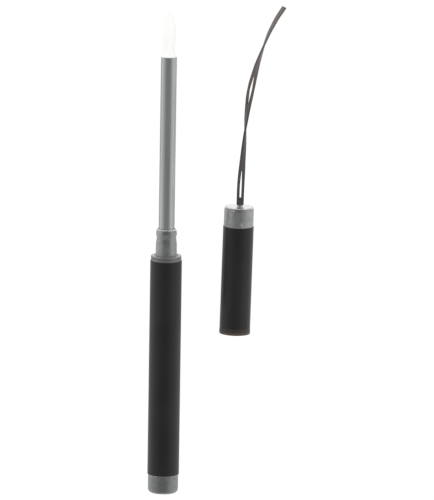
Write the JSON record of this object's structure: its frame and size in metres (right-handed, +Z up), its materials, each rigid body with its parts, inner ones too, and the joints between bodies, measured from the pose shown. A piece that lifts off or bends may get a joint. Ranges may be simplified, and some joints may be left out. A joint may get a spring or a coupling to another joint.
{
  "type": "stylus pen",
  "caption": "Slim capped stylus: a white nib on a metal shaft that slides into a black barrel, with its cap lying beside it on a short slotted strap.",
  "frame": {"origin": "on the surface that the pen and its cap lie on, under the middle of the pen and cap taken together", "axes": "+Y along the pen towards its nib, +X from the pen towards the cap beside it, +Z up"},
  "size_m": [0.0376, 0.1408, 0.009],
  "materials": {
    "black_lacquer": "satin black lacquer on a thin metal tube",
    "satin_silver": "fine-grained satin silver",
    "drawn_tube": "drawn tube with a fine grain along it",
    "white_nib": "smooth white moulding",
    "pale_moulding": "slippery natural plastic",
    "dark_liner": "matt dark moulding",
    "black_rubber": "matt rubber",
    "dark_boot": "matt moulded boot",
    "dark_strap": "flat dark lace with a soft grain"
  },
  "bodies": {
    "barrel": {"barrel_tube": "black_lacquer", "end_plug": "satin_silver", "collar": "satin_silver", "guide_bush": "pale_moulding"},
    "shaft": {"shaft_tube": "drawn_tube", "nib": "white_nib", "slider": "pale_moulding", "friction_ring": "black_rubber"},
    "cap": {"cap_tube": "black_lacquer", "cap_liner": "dark_liner", "cap_end": "satin_silver", "strap_post": "satin_silver", "strap_boot": "dark_boot", "strap": "dark_strap"}
  },
  "joints": [
    {"name": "shaft_slide", "type": "slide", "parent": "barrel", "child": "shaft", "axis": [0, 1, 0], "range_m": [-0.043, 0]},
    {"name": "cap_pull", "type": "slide", "parent": "barrel", "child": "cap", "axis": [0.0209, 0.9998, 0], "range_m": [0, 0.027]}
  ]
}
